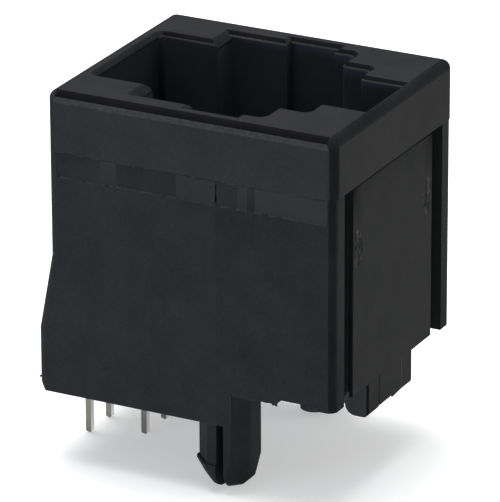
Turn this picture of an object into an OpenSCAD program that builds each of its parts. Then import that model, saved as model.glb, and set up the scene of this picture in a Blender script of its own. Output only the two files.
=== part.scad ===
// Top-entry modular jack for a circuit board: a moulded housing that snaps into the board,
// a contact carrier pushed up into it from below, and six formed spring contacts.
// Millimetres. Z = 0 is the board's surface, the plug enters from +Z with its latch towards +X,
// and the row of contacts runs along Y.

/* [Plug cavity] */
// Width of the plug that fits the cavity
plug_w = 9.65; // [9.4:0.05:10]
// Thickness of the cavity from its contact side to its latch side
plug_t = 6.64; // [6.4:0.02:7]
// Clearance on each side of the plug
plug_clear = 0.04; // [0.02:0.01:0.1]
// Depth of the cavity from the mouth to its floor
cavity_depth = 12.48; // [12:0.02:13.5]
// Chamfer around the mouth
mouth_chamfer = 0.2; // [0.1:0.05:0.3]
// Chamfer on the step between the contacts' bay and the cavity
step_chamfer = 0.36; // [0.2:0.02:0.6]
// Radius of the latch opening's corners that point inwards
mouth_corner_r = 0.3; // [0.25:0.05:0.6]
// Radius of the opening's corners that point outwards
mouth_fillet_r = 0.3; // [0.2:0.05:0.5]
// Length of the relief groove in each side wall
side_groove_l = 2.54; // [2:0.01:3.2]
// Depth of the relief groove in each side wall
side_groove_d = 0.485; // [0.3:0.005:0.7]
// Distance of the relief groove from the cavity's contact side
side_groove_at = 2.98; // [2.4:0.01:3.6]

/* [Latch] */
// Width of the opening for the root of the latch
latch_wide_w = 6.68; // [6.2:0.02:7.2]
// Length of the opening for the root of the latch
latch_wide_l = 1.6; // [1.2:0.01:1.8]
// Width of the opening for the latch's tab
latch_narrow_w = 4.12; // [3.5:0.02:4.6]
// Length of the opening for the latch's tab
latch_narrow_l = 2.28; // [2:0.01:2.8]
// Thickness of the ledge that the latch catches behind
latch_ledge_t = 2; // [1.5:0.1:2.6]

/* [Walls] */
// Thickness of the wall beside the contacts
contact_wall_t = 0.96; // [0.8:0.02:1.4]
// Thickness of the wall behind the latch
latch_wall_t = 0.64; // [0.5:0.02:1]
// Thickness of the side walls behind the relief grooves
side_wall_t = 1; // [0.8:0.05:1.4]
// Thickness of the side walls beside the carrier
seat_wall_t = 1.2; // [1.1:0.02:1.4]
// Thickness of the cavity's floor
floor_t = 1.15; // [0.9:0.01:1.3]
// Height of the cavity's floor above the board
floor_z = 3; // [2.6:0.05:3.6]
// Height of the rim band
rim_h = 3; // [2.6:0.05:3.6]
// Radius of the outer edges
edge_r = 0.45; // [0.25:0.05:0.55]

/* [Latch side face] */
// Step from the rim back to the panel
panel_step = 0.1; // [0.06:0.01:0.2]
// Step from the rim back to the two corner strips
strip_step = 0.04; // [0.02:0.01:0.05]
// Width of the two corner strips
strip_t = 1.1; // [0.9:0.05:1.2]
// Width of the two slots beside the panel
slot_w = 0.85; // [0.6:0.05:1.1]
// Web between the cavity and the closed end of a slot
slot_web = 1.2; // [0.9:0.05:1.6]

/* [Contact side bulge] */
// Wall outside the outer row of tails
bulge_wall_t = 0.5; // [0.45:0.05:0.8]
// Height where the bulge starts to slope back
bulge_low_z = 3.18; // [2.8:0.02:3.6]
// Height where the bulge meets the wall
bulge_top_z = 7.07; // [6.6:0.01:7.6]
// Chamfer along the bulge's lower edge, across its wall
bulge_chamfer = 0.4; // [0.2:0.05:0.4]
// Height of the chamfer along the bulge's lower edge
bulge_chamfer_h = 0.6; // [0.3:0.05:0.8]

/* [Board posts] */
// Distance of the posts' slits from the contact side face of the rim
post_at = 9.12; // [8.8:0.01:9.4]
// Distance between the two posts
post_spacing = 10.16; // [9.9:0.02:10.4]
// Width of a post along the row of contacts
post_w = 2.54; // [2.3:0.02:2.8]
// Width of the slit between a post's legs
slit_w = 0.38; // [0.3:0.02:0.5]
// Reach of the plain leg from the middle of the slit
plain_reach = 1.29; // [1.1:0.01:1.5]
// Size of the plain leg's cut corners
plain_corner = 0.7; // [0.5:0.05:0.8]
// Reach of the springy leg from the middle of the slit
spring_reach = 1.55; // [1.4:0.01:1.7]
// Size of the springy leg's cut corners
spring_corner = 0.85; // [0.6:0.05:0.95]
// How far the springy leg is set back from the plain one's flanks
spring_inset = 0.06; // [0.02:0.01:0.12]
// Length of a post below the board's surface
post_l = 3.4; // [3.2:0.05:3.8]
// Depth below the board where the plain leg starts to taper
taper_z = 1.8; // [1.6:0.05:2.2]
// How much the plain leg narrows for each millimetre of taper
plain_taper = 0.22; // [0.16:0.02:0.4]
// Depth of the catch below the board's surface
catch_z = 2.1; // [2.04:0.02:2.3]
// How far the catch stands out from its leg
catch_out = 0.12; // [0.08:0.01:0.2]
// Height of the catch's straight edge
catch_h = 0.16; // [0.1:0.02:0.3]
// How much the catch narrows for each millimetre of taper
catch_taper = 0.5; // [0.4:0.02:0.7]
// Radius of the dome at a leg's tip
dome_r = 1; // [0.9:0.05:1.2]
// Height of the dome at a leg's tip
dome_h = 0.45; // [0.35:0.05:0.6]
// Radius of the round on a leg's tip along the flanks
tip_r = 1; // [0.8:0.05:1.2]
// Length of the side walls past the slits that reaches the board
seat_past_post = 0.58; // [0.4:0.01:0.8]
// Gap between a post and the carrier's bay
post_gap = 0.29; // [0.2:0.01:0.4]

/* [Underside] */
// Thickness of the ribs that close the carrier's bay and box in the seat
rib_t = 0.6; // [0.4:0.05:0.7]
// Width of the seat's box between the posts
seat_box_w = 5.7; // [5:0.1:6]
// Length of the seat's box past the posts' slits
seat_box_past = 1.05; // [0.8:0.01:1.4]
// How much lower than the floor the side walls reach past the posts
lip_drop = 0.1; // [0.05:0.01:0.3]
// Distance of the relief in the side walls' lower edges from the posts' slits
relief_past = 3.1; // [2.5:0.05:3.5]
// Length of the relief in the side walls' lower edges
relief_l = 2.05; // [1.8:0.05:2.6]
// Height of the relief in the side walls' lower edges
relief_h = 0.2; // [0.1:0.02:0.4]
// Height of the feet above the board
foot_lift = 0.02; // [0.01:0.01:0.2]
// Distance of the long foot from the latch side face of the rim
foot_inset = 0.18; // [0.16:0.01:0.4]
// Thickness of the long foot
foot_t = 1.25; // [1.1:0.05:1.5]
// Length of the long foot
foot_l = 4.8; // [4.2:0.02:5.2]
// Length of each pad at the ends of the long foot
foot_pad_l = 1.2; // [0.8:0.01:1.5]
// Relief between the pads
foot_relief = 0.25; // [0.1:0.01:0.4]
// How far the stretch between the pads is set back from their inner faces
foot_web_back = 0.06; // [0.02:0.01:0.15]
// How far the stretch between the pads stands out from their outer faces
foot_web_out = 0.03; // [0.01:0.01:0.05]
// Radius of the pads' inner lower edge
pad_inner_r = 0.55; // [0.4:0.05:0.7]
// Radius of the pads' outer lower edge
pad_outer_r = 0.3; // [0.1:0.05:0.35]
// Radius of the two round feet
round_foot_r = 0.7; // [0.5:0.05:0.85]
// Distance of the round feet from the long foot
round_foot_gap = 0.95; // [0.8:0.05:1.2]
// Distance between the two round feet
round_foot_spacing = 4.6; // [4.2:0.1:5.2]

/* [Contacts] */
// Thickness of the square contact wire
wire_t = 0.3; // [0.24:0.02:0.36]
// Spacing of the contacts
pitch = 1.016; // [1:0.004:1.1]
// Distance between the two rows of tails
row_spacing = 2.54; // [2.4:0.02:2.7]
// Distance of the inner row of tails from the posts' slits
row_from_post = 6.62; // [6.4:0.01:6.8]
// Length of the tails below the board's surface
tail_l = 3.6; // [3.2:0.05:4]
// Chamfer at the tip of a tail
tail_chamfer = 0.1; // [0.05:0.01:0.11]
// Height where the outer row's tails start to lean in
outer_jog_low = 2.6; // [2.3:0.05:2.9]
// Height where the outer row's wires stand upright again
outer_jog_high = 6.57; // [6:0.01:6.8]
// Height where the inner row's tails start to lean out
inner_jog_low = 1; // [0.7:0.05:1.3]
// Height where the inner row's wires stand upright again
inner_jog_high = 3.6; // [3.3:0.05:4.2]
// Radius of the bend over the carrier's comb, at the wire's middle
bend_r = 0.7; // [0.6:0.02:0.8]
// Height of the bend's centre above the cavity's floor
bend_rise = 6.2; // [5.8:0.1:6.8]
// Lean of the spring arms from upright
arm_lean = 22; // [18:0.5:25]
// How far the free ends dip below the cavity's floor
arm_dip = 0.4; // [0.2:0.05:0.6]

/* [Contact carrier] */
// Clearance of the carrier in the housing
carrier_clear = 0.04; // [0.02:0.01:0.08]
// Clearance of a wire in its slot
slot_clear = 0.03; // [0.02:0.005:0.05]
// Space beside the outer contacts in their bay
bay_side = 0.62; // [0.5:0.01:0.8]
// Length of the contacts' bay
bay_l = 3.12; // [2.9:0.02:3.5]
// Gap between the carrier's underside and the board
carrier_lift = 0.15; // [0.1:0.05:0.3]
// Depth of the slots in the carrier's base below the free ends
guide_depth = 0.4; // [0.2:0.05:0.6]
// Height of the carrier's snap barbs above the board
barb_z = 1; // [0.8:0.05:1.2]
// Height of the straight edge of a snap barb
barb_edge = 0.2; // [0.1:0.05:0.3]
// How far the carrier's snap barbs stand out
barb_out = 0.25; // [0.15:0.05:0.35]
// Length of the carrier's snap barbs
barb_l = 2; // [1.5:0.1:3]
// Length of a snap barb's slope, along its height
barb_h = 1; // [0.8:0.05:1.2]

/* [Hidden] */
$fn = 48;

// Cuts reach this far past the faces they open
past = 1;
// A round on a tip starts this far outside the flank, so that it meets it at a slight angle
tip_clear = 0.01;
contact_n = 6;

// The housing's outer size follows from what it has to hold
cavity_w = plug_w + 2 * plug_clear;
body_l = contact_wall_t + bay_l + plug_t + latch_wide_l + latch_narrow_l + latch_wall_t;
body_w = cavity_w + 2 * side_groove_d + 2 * side_wall_t;
body_h = floor_z + cavity_depth;
rim_z = body_h - rim_h;
under_z = floor_z - floor_t;

// Places along X, from the contact side to the latch side
face_x = -body_l / 2;
bay_x = face_x + contact_wall_t;
main_x = bay_x + bay_l;
groove_x = main_x + side_groove_at;
wide_x = main_x + plug_t;
narrow_x = wide_x + latch_wide_l;
latch_end_x = narrow_x + latch_narrow_l;
latch_face_x = body_l / 2;
bay_w = (contact_n - 1) * pitch + wire_t + 2 * bay_side;

// Board posts, the seat around the carrier and the feet
post_x = face_x + post_at;
post_y = post_spacing / 2;
bay_end_x = post_x - spring_reach - post_gap;
seat_end_x = post_x + seat_past_post;
seat_box_x = post_x + seat_box_past;
relief_x = post_x + relief_past;
seat_wall_y = body_w / 2 - seat_wall_t;
foot_x = latch_face_x - foot_inset - foot_t;

// Contact places
row_in_x = post_x - row_from_post;
row_out_x = row_in_x - row_spacing;
riser_x = bay_x + wire_t;
bend_x = riser_x + bend_r;
bend_z = floor_z + bend_rise;
arm_top = [bend_x + bend_r * cos(arm_lean), bend_z + bend_r * sin(arm_lean)];
arm_end_z = floor_z - arm_dip;
arm_l = (arm_top.y - arm_end_z) / cos(arm_lean);
arm_end_x = arm_top.x + arm_l * sin(arm_lean);

// Bulge and the space inside it
bulge_x = row_out_x - wire_t / 2 - carrier_clear - bulge_wall_t;
bulge_in_x = bulge_x + bulge_wall_t;

function contact_y(i) = (i - (contact_n + 1) / 2) * pitch;
function is_outer(i) = i % 2 == 1;

// A profile drawn in X and Z, given a width along Y
module across(width) {
    rotate([90, 0, 0])
        linear_extrude(height = width, center = true)
            children();
}

// A block with rounded upright edges and, where top_r is given, a rounded top edge.
// Corner posts, edge bars and a core meet face to face.
module rounded_block(x0, x1, width, z0, z1, r, top_r) {
    xm = (x0 + x1) / 2;
    long = x1 - x0 - 2 * r;
    wide = width - 2 * r;
    translate([x0 + r, -wide / 2, z0])
        cube([long, wide, z1 - z0]);
    for (side = [-1, 1]) {
        translate([xm, side * wide / 2, 0])
            rotate([90, 0, 90])
                linear_extrude(height = long, center = true)
                    edge_profile(side, z0, z1, r, top_r);
        translate([xm + side * long / 2, 0, 0])
            across(wide)
                edge_profile(side, z0, z1, r, top_r);
        for (end = [-1, 1])
            translate([xm + end * long / 2, side * wide / 2, 0])
                rotate_extrude()
                    edge_profile(1, z0, z1, r, top_r);
    }
}

// The section of a rounded block's edge: a strip whose upper outer corner may be round
module edge_profile(side, z0, z1, r, top_r) {
    mirror([side < 0 ? 1 : 0, 0])
        if (top_r > 0) {
            translate([0, z0])
                square([r, z1 - top_r - z0]);
            intersection() {
                translate([r - top_r, z1 - top_r])
                    circle(r = top_r);
                translate([0, z1 - top_r])
                    square([r, top_r]);
            }
        } else {
            translate([0, z0])
                square([r, z1 - z0]);
        }
}

// What is left of a square edge once a round of radius r is cut on it, along an edge of length len
module edge_round(len, r) {
    linear_extrude(height = len, center = true)
        difference() {
            translate([-past, -past])
                square(r + past);
            translate([r, r])
                circle(r = r);
        }
}

// The bulge that covers the outer row of tails, with its upright and sloping edges rounded
module bulge() {
    out = face_x - bulge_x;
    rise = bulge_top_z - bulge_low_z;
    inside = 2 * edge_r;
    difference() {
        across(body_w)
            polygon([
                [face_x + inside, 0],
                [bulge_x + bulge_chamfer, 0],
                [bulge_x, bulge_chamfer_h],
                [bulge_x, bulge_low_z],
                [face_x + inside, bulge_top_z + rise / out * inside]
            ]);
        for (side = [0, 1])
            mirror([0, side, 0])
                translate([bulge_x, -body_w / 2, bulge_low_z]) {
                    edge_round(2 * bulge_low_z + 2 * past, edge_r);
                    rotate([0, atan2(out, rise), 0])
                        edge_round(body_h, edge_r);
                }
    }
}

// A straight-sided opening from z0 up through the mouth, with the mouth's chamfer
module opening(x0, x1, width, z0) {
    xm = (x0 + x1) / 2;
    long = x1 - x0;
    translate([x0, -width / 2, z0])
        cube([long, width, body_h - z0 + past]);
    translate([xm, 0, body_h - mouth_chamfer])
        intersection() {
            across(width + 4 * past)
                chamfer_profile(long);
            rotate([90, 0, 90])
                linear_extrude(height = long + 4 * past, center = true)
                    chamfer_profile(width);
        }
}

// The section of the mouth's chamfer over an opening of this length
module chamfer_profile(long) {
    half = long / 2;
    top = mouth_chamfer + past;
    polygon([[-half, 0], [half, 0], [half + top, top], [-half - top, top]]);
}

// Takes the sharpness off the two corners of the housing that point into the latch's opening at x
module corner_relief(x, y, z0) {
    r = mouth_corner_r;
    for (side = [0, 1])
        mirror([0, side, 0])
            translate([x, y, 0])
                difference() {
                    translate([0, 0, z0])
                        cube([r, r, body_h - z0 + past]);
                    translate([r, r, z0 - past])
                        cylinder(r = r, h = body_h - mouth_chamfer - z0 + past);
                    translate([r, r, body_h - mouth_chamfer])
                        cylinder(r1 = r, r2 = r - mouth_chamfer, h = mouth_chamfer);
                }
}

// The plug's cavity, the contacts' bay and the latch's way in
module plug_opening() {
    ledge_z = body_h - latch_ledge_t;
    opening(main_x, wide_x, cavity_w, floor_z);
    opening(groove_x, groove_x + side_groove_l, cavity_w + 2 * side_groove_d, floor_z);
    opening(bay_x, main_x + past, bay_w, floor_z - past);
    opening(wide_x - past, narrow_x, latch_wide_w, floor_z);
    opening(narrow_x - past, latch_end_x, latch_narrow_w, floor_z);
    translate([wide_x - past, -latch_wide_w / 2, floor_z])
        cube([latch_end_x - wide_x + past, latch_wide_w, ledge_z - floor_z]);
    corner_relief(wide_x, latch_wide_w / 2, floor_z);
    corner_relief(narrow_x, latch_narrow_w / 2, ledge_z);
    step_lead_in();
}

// The longer chamfer on the step from the contacts' bay to the cavity
module step_lead_in() {
    low_z = body_h - step_chamfer;
    high_z = body_h + past;
    intersection() {
        opening(main_x - past, main_x + past, cavity_w, floor_z);
        across(2 * body_w)
            polygon([
                [main_x, low_z],
                [main_x + past, low_z],
                [main_x + past, high_z],
                [main_x - step_chamfer - past, high_z]
            ]);
    }
}

// The bay that takes the carrier from below, with the slope inside the bulge
module carrier_bay() {
    slope = beside(wire_line(1), -wire_t / 2 - carrier_clear);
    translate([bulge_in_x, -seat_wall_y, -past])
        cube([bay_end_x - bulge_in_x, 2 * seat_wall_y, floor_z + past]);
    across(bay_w)
        polygon([
            [slope[1].x, 0],
            slope[1],
            slope[2],
            [main_x, slope[2].y],
            [main_x, 0]
        ]);
    for (side = [0, 1])
        mirror([0, side, 0])
            snap_barb(carrier_clear);
}

// A barb on the carrier's flank, or the pocket for it when grown by the clearance
module snap_barb(grow) {
    mid_x = (bulge_in_x + bay_end_x) / 2;
    y = seat_wall_y - carrier_clear;
    translate([mid_x, 0, 0])
        rotate([90, 0, 90])
            linear_extrude(height = barb_l + 2 * grow, center = true)
                polygon([
                    [y - past / 2, barb_z - grow],
                    [y + barb_out + grow, barb_z - grow],
                    [y + barb_out + grow, barb_z + barb_edge],
                    [y + grow, barb_z + barb_h + grow],
                    [y - past / 2, barb_z + barb_h + grow]
                ]);
}

// Deep slots that set the panel off from the corner strips, and the panel's own step
module latch_side_cuts() {
    slot_y = body_w / 2 - strip_t;
    translate([latch_face_x - panel_step, -slot_y, under_z - past])
        cube([past, 2 * slot_y, rim_z - under_z + past]);
    for (side = [-1, 1])
        translate([wide_x + slot_web, side * (slot_y - slot_w / 2) - slot_w / 2, under_z - past])
            cube([latch_face_x - wide_x - slot_web + past, slot_w, rim_z - under_z + past]);
}

// What is open under the floor: between the side walls, inside the seat's box and past the seat
module underside_cut() {
    box_y = seat_box_w / 2;
    rib_x = bay_end_x + rib_t;
    wall_z = under_z - lip_drop;
    for (side = [0, 1])
        mirror([0, side, 0])
            translate([rib_x, box_y, -past])
                cube([seat_box_x - rib_x + past, seat_wall_y - box_y, under_z + past]);
    translate([rib_x, rib_t - box_y, -past])
        cube([seat_box_x - rib_t - rib_x, seat_box_w - 2 * rib_t, under_z + past]);
    translate([seat_box_x, -seat_wall_y, -past])
        cube([body_l, 2 * seat_wall_y, under_z + past]);
    for (side = [0, 1])
        mirror([0, side, 0]) {
            translate([seat_end_x, seat_wall_y, -past])
                cube([body_l, body_w, wall_z + past]);
            translate([relief_x, seat_wall_y, -past])
                cube([relief_l, body_w, wall_z + relief_h + past]);
        }
}

// The plan of a leg, from the slit outwards, with its two outer corners cut off
module leg_plan(reach, half_w, corner) {
    polygon([
        [slit_w / 2, -half_w],
        [reach - corner, -half_w],
        [reach, corner - half_w],
        [reach, half_w - corner],
        [reach - corner, half_w],
        [slit_w / 2, half_w]
    ]);
}

// What a round of this height and radius leaves off a tip whose flank stands this far out above it
module tip_cut(out, h, r) {
    middle = out + tip_clear - sqrt(r * r - (r - h) * (r - h));
    difference() {
        translate([middle, -post_l - past])
            square([2 * r, h + past]);
        translate([middle, r - post_l])
            circle(r = r);
    }
}

// What the taper leaves off one of a leg's outer faces below low_z
module taper_cut(reach, low_z, taper) {
    drop = post_l + past;
    polygon([
        [reach + taper * past, past - low_z],
        [reach - taper * drop, -low_z - drop],
        [reach + past, -low_z - drop]
    ]);
}

// A leg that hangs from top_z, tapers below low_z and ends in a rounded tip
module leg(reach, half_w, corner, top_z, low_z, taper) {
    narrowing = taper * (post_l - dome_h - low_z);
    corner_out = (reach + half_w - corner) / sqrt(2);
    difference() {
        translate([0, 0, -post_l])
            linear_extrude(height = post_l + top_z)
                leg_plan(reach, half_w, corner);
        for (turn = [-45, 0, 45]) {
            out = turn == 0 ? reach : corner_out;
            rotate([0, 0, turn])
                across(4 * half_w) {
                    taper_cut(out, low_z, taper);
                    tip_cut(out - narrowing, dome_h, dome_r);
                }
        }
        for (side = [0, 1])
            mirror([0, side, 0])
                rotate([90, 0, 90])
                    linear_extrude(height = reach + past)
                        tip_cut(half_w, tip_r, tip_r);
    }
}

// A split post: one springy leg carries the catch, the other is plain
module board_post() {
    plain_half = post_w / 2;
    spring_half = plain_half - spring_inset;
    shank_z = catch_z + catch_h / 2;
    leg(plain_reach, plain_half, plain_corner, under_z, taper_z, plain_taper);
    mirror([1, 0, 0]) {
        translate([0, 0, -shank_z])
            linear_extrude(height = under_z + shank_z)
                leg_plan(spring_reach, spring_half, spring_corner);
        leg(
            spring_reach + catch_out,
            spring_half + catch_out,
            spring_corner + (2 - sqrt(2)) * catch_out,
            -catch_z,
            catch_z + catch_h,
            catch_taper
        );
    }
    translate([-slit_w / 2, -spring_half, 0])
        cube([slit_w, 2 * spring_half, under_z]);
}

// The section of a pad, its two lower edges rounded
module pad_section() {
    top = under_z + floor_t / 2;
    translate([0, foot_lift + pad_inner_r])
        square([foot_t, top - foot_lift - pad_inner_r]);
    translate([pad_inner_r, foot_lift])
        square([foot_t - pad_inner_r - pad_outer_r, pad_inner_r]);
    translate([pad_inner_r, foot_lift + pad_inner_r])
        circle(r = pad_inner_r);
    translate([foot_t - pad_outer_r, foot_lift + pad_outer_r])
        circle(r = pad_outer_r);
    translate([foot_t - pad_outer_r, foot_lift + pad_outer_r])
        square([pad_outer_r, pad_inner_r]);
}

// The long foot with its two pads, and the two round feet
module feet() {
    web_z = foot_lift + foot_relief;
    web_l = foot_l - 2 * foot_pad_l;
    pad_y = (foot_l - foot_pad_l) / 2;
    translate([foot_x + foot_web_back, -web_l / 2, web_z])
        cube([foot_t - foot_web_back + foot_web_out, web_l, under_z - web_z + floor_t / 2]);
    for (side = [-1, 1]) {
        translate([foot_x, side * pad_y, 0])
            across(foot_pad_l)
                pad_section();
        translate([foot_x - round_foot_gap - round_foot_r, side * round_foot_spacing / 2, foot_lift])
            cylinder(r = round_foot_r, h = under_z - foot_lift + floor_t / 2);
    }
}

// Rounds the two corners of the opening that point outwards at x, on its latch or contact side
module corner_fill(x, y, latch_side, z0) {
    r = mouth_fillet_r;
    low_z = body_h - mouth_chamfer;
    for (side = [0, 1])
        mirror([0, side, 0])
            translate([x, y, 0])
                mirror([latch_side ? 1 : 0, 0, 0])
                    difference() {
                        translate([-mouth_chamfer, -r, z0])
                            cube([r + mouth_chamfer, r + mouth_chamfer, body_h - z0]);
                        translate([r, -r, z0 - past])
                            cylinder(r = r, h = low_z - z0 + past);
                        translate([r, -r, low_z])
                            cylinder(r1 = r, r2 = r + mouth_chamfer + past, h = mouth_chamfer + past);
                    }
}

module housing() {
    color("#2b2c2f") {
        difference() {
            union() {
                rounded_block(face_x, latch_face_x, body_w, rim_z, body_h, edge_r, edge_r);
                rounded_block(face_x, latch_face_x - strip_step, body_w, 0, rim_z, edge_r, 0);
                bulge();
            }
            plug_opening();
            carrier_bay();
            latch_side_cuts();
            underside_cut();
        }
        for (side = [0, 1])
            mirror([0, side, 0])
                translate([post_x, post_y, 0])
                    board_post();
        feet();
        corner_fill(bay_x, bay_w / 2, false, bend_z + 2 * bend_r);
        corner_fill(wide_x, cavity_w / 2, true, floor_z);
        corner_fill(narrow_x, latch_wide_w / 2, true, body_h - latch_ledge_t);
    }
}

// The middle line of a contact below its bend: tail, jog and riser
function wire_line(i) = is_outer(i)
    ? [[row_out_x, -tail_l], [row_out_x, outer_jog_low], [riser_x, outer_jog_high], [riser_x, bend_z]]
    : [[row_in_x, -tail_l], [row_in_x, inner_jog_low], [riser_x, inner_jog_high], [riser_x, bend_z]];

// Shift of a mitred line's point to one side, where the line before and after it lean by a and b
function mitre(a, b, d) = d / cos((a - b) / 2) * [cos((a + b) / 2), sin((a + b) / 2)];
function lean(p, q) = atan2(q.x - p.x, q.y - p.y) * -1;

// A contact line moved sideways by d, the bends mitred
function beside(line, d) = [
    for (k = [0:len(line) - 1])
        line[k] + mitre(
            lean(line[max(k - 1, 0)], line[max(k, 1)]),
            lean(line[min(k, len(line) - 2)], line[min(k + 1, len(line) - 1)]),
            d
        )
];

// A list turned end for end
function reversed(list) = [for (k = [len(list) - 1:-1:0]) list[k]];

// The section of the turn over the comb, with the riser's end before it and the spring arm after it
module bend_and_arm() {
    half = wire_t / 2;
    translate([bend_x, bend_z]) {
        wire_ring([-2 * bend_r, 0], [2.5 * bend_r, 2 * bend_r]);
        translate([-bend_r - half, -bend_r])
            square([wire_t, bend_r]);
        rotate(arm_lean) {
            wire_ring([0, 0], [2 * bend_r, 2 * bend_r]);
            translate([bend_r - half, -arm_l])
                square([wire_t, arm_l]);
        }
    }
}

// The part of a ring of wire that lies in a box
module wire_ring(corner, size) {
    intersection() {
        difference() {
            circle(r = bend_r + wire_t / 2);
            circle(r = bend_r - wire_t / 2);
        }
        translate(corner)
            square(size);
    }
}

// One contact: tail, jog, riser, bend and spring arm, all of one square wire
module contact(i) {
    half = wire_t / 2;
    line = wire_line(i);
    cut = sqrt(2) * tail_chamfer;
    color("#d9d8d3")
        translate([0, contact_y(i), 0])
            difference() {
                union() {
                    across(wire_t)
                        polygon(concat(beside(line, -half), reversed(beside(line, half))));
                    across(wire_t)
                        bend_and_arm();
                }
                for (turn = [0:90:270])
                    translate([line[0].x, 0, -tail_l])
                        rotate([0, 0, turn])
                            translate([half, 0, 0])
                                rotate([0, 45, 0])
                                    cube([cut, past, cut], center = true);
            }
}

// The carrier's section: base under the cavity and comb tower in the contacts' bay
module carrier_section() {
    half = wire_t / 2;
    left = beside(wire_line(1), -half);
    tower_x = bend_x + bend_r + half;
    polygon([
        [left[1].x, carrier_lift],
        left[1],
        left[2],
        left[3],
        [tower_x, bend_z],
        [tower_x, carrier_lift]
    ]);
    translate([bend_x, bend_z])
        intersection() {
            circle(r = tower_x - bend_x);
            translate([-2 * bend_r, 0])
                square([4 * bend_r, 2 * bend_r]);
        }
}

// The slot that a contact lies in: open to the contact side, over the top and down the front
module contact_slot(i) {
    half = wire_t / 2 + slot_clear;
    right = beside(wire_line(i), half);
    core_r = bend_r - half;
    front_x = bend_x + core_r;
    far_x = bulge_x - past;
    guide_z = arm_end_z - guide_depth;
    guide_end_x = arm_end_x + wire_t;
    translate([0, contact_y(i), 0])
        across(wire_t + 2 * slot_clear) {
            polygon(concat(right, [[far_x, bend_z], [far_x, -tail_l]]));
            translate([bend_x, bend_z])
                difference() {
                    translate([-3 * bend_r, 0])
                        square([6 * bend_r, 3 * bend_r]);
                    circle(r = core_r);
                }
            translate([front_x, floor_z])
                square([3 * bend_r, bend_rise]);
            polygon([
                [front_x, floor_z],
                [guide_end_x, floor_z],
                [guide_end_x, guide_z],
                [arm_end_x - 3 * wire_t, guide_z],
                [front_x, floor_z - arm_dip]
            ]);
        }
}

module contact_carrier() {
    base_l = bay_end_x - bulge_in_x - 2 * carrier_clear;
    base_w = 2 * (seat_wall_y - carrier_clear);
    color("#1d1e20")
        difference() {
            union() {
                across(bay_w - 2 * carrier_clear)
                    carrier_section();
                translate([bulge_in_x + carrier_clear, -base_w / 2, carrier_lift])
                    cube([base_l, base_w, floor_z - carrier_lift]);
                for (side = [0, 1])
                    mirror([0, side, 0])
                        snap_barb(0);
            }
            for (i = [1:contact_n])
                contact_slot(i);
        }
}

housing();
contact_carrier();
contact(1);  // contact_1
contact(2);  // contact_2
contact(3);  // contact_3
contact(4);  // contact_4
contact(5);  // contact_5
contact(6);  // contact_6
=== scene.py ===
"""Looks of a top-entry modular jack: black moulded housing and carrier, tin-plated wire contacts."""

import bmesh
import bpy
import math
import random
from mathutils import Matrix, Vector

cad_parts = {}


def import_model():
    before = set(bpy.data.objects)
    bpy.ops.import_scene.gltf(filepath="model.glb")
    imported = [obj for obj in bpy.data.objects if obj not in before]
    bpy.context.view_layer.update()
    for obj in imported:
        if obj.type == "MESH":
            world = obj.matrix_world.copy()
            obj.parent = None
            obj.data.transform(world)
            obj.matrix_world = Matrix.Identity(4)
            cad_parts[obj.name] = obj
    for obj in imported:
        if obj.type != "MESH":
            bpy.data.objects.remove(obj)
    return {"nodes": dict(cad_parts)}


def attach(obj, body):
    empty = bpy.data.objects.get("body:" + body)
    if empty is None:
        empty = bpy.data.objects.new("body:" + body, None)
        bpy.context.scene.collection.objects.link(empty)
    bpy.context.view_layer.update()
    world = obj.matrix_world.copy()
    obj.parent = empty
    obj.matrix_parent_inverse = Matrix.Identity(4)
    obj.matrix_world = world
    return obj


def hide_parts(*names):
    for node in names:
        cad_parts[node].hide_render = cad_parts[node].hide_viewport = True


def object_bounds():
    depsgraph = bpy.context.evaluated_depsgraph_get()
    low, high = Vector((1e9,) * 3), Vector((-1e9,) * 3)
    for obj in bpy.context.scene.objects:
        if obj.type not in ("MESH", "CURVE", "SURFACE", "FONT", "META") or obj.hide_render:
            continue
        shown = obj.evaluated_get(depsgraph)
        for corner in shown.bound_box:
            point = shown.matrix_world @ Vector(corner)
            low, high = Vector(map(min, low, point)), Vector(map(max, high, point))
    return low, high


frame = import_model()
cad_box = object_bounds()

MM = 0.001
X, Y, Z = range(3)
CONTACTS = 6

# The housing's outer faces at the rim, in millimetres, from the solid's corners above this height
RIM_FROM_Z = 14
RIM = [v.co / MM for v in frame["nodes"]["housing"].data.vertices if v.co.z > RIM_FROM_Z * MM]
SIDE_Y = max(v.y for v in RIM)
LATCH_X = max(v.x for v in RIM)
CONTACT_X = -LATCH_X
TOP_Z = max(v.z for v in RIM)

# The rim's height, the round along its upper edges, and its lower edge
RIM_H = 3.0
EDGE_R = 0.45
RIM_Z = TOP_Z - RIM_H

# The plug opening: its chamfers, the bounds that hold it, where the contact bay starts, and its floor
MOUTH_CHAMFER = 0.2
STEP_CHAMFER = 0.36
MOUTH_X = (-7.0, 7.2)
MOUTH_Y = 5.7
BAY_X = -4.0
CAVITY_FLOOR_Z = 3.0

# The latch-side panel, set back from the rim, and the slots beside it
PANEL_STEP = 0.1
PANEL_X = LATCH_X - PANEL_STEP
PANEL_Y = 4.4
SLOT_X = 4.2
SLOT_Y = 5.25

# The underside, the bounds of the posts and the feet below it, and those of the long foot's middle and pads
UNDER_Z = 1.85
POST_X = (-0.3, 3.0)
POST_Y = 3.5
FOOT_X = 3.8
WEB_END_Y = 1.2
PAD_END_Y = 2.6
PAD_DEPTH = 0.25

# How far from its own place an edge or a face may lie and still be taken for it
ON_LINE = 0.01
ON_FACE = 0.02
CLOSE = 0.05
ROOM = 0.1
WIDE_ROOM = 0.2
OUTER_SKIN = 0.5

# How much of a direction lies along an axis, from all of it to hardly any
SQUARE = 0.999
FACING = 0.99
MOSTLY = 0.97
STEEP = 0.95
LARGELY = 0.9
HALFWAY = 0.5
TILTED = 0.3
A_LITTLE = 0.1
SLIGHTLY = 0.05
HARDLY = 0.03

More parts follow.
